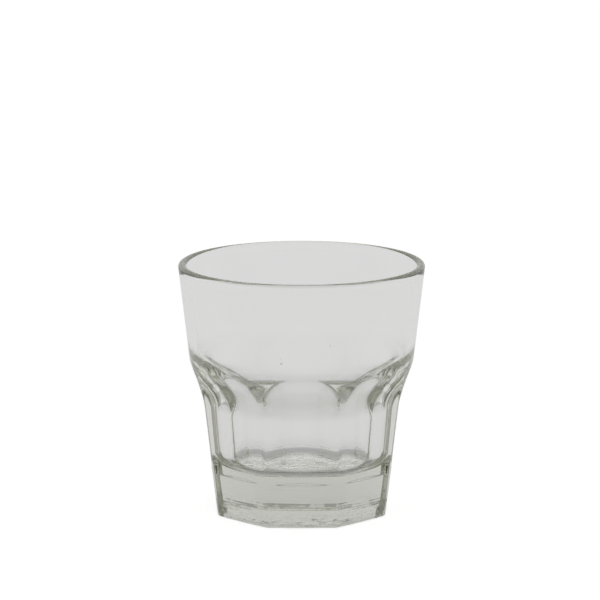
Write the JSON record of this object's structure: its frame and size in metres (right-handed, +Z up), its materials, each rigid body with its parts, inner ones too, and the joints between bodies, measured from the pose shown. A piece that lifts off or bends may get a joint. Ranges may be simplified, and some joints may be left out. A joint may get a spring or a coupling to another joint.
{
  "type": "water tumbler",
  "caption": "Clear pressed-glass water tumbler with a flaring round rim, arched side panels, a ledge above a faceted heel and a thick floor, for cold drinks.",
  "frame": {"origin": "on the axis of the glass, in the plane of the bearing ring that it stands on", "axes": "+Z up along the axis of the glass, -Y out of the middle of the panel that faces the viewer, +X to the viewer's right"},
  "size_m": [0.085, 0.085, 0.087],
  "materials": {
    "clear_glass": "fire-polished clear soda-lime glass with a faint grey-olive cast where it is thick"
  },
  "bodies": {
    "root": {"tumbler_glass": "clear_glass"}
  },
  "joints": []
}
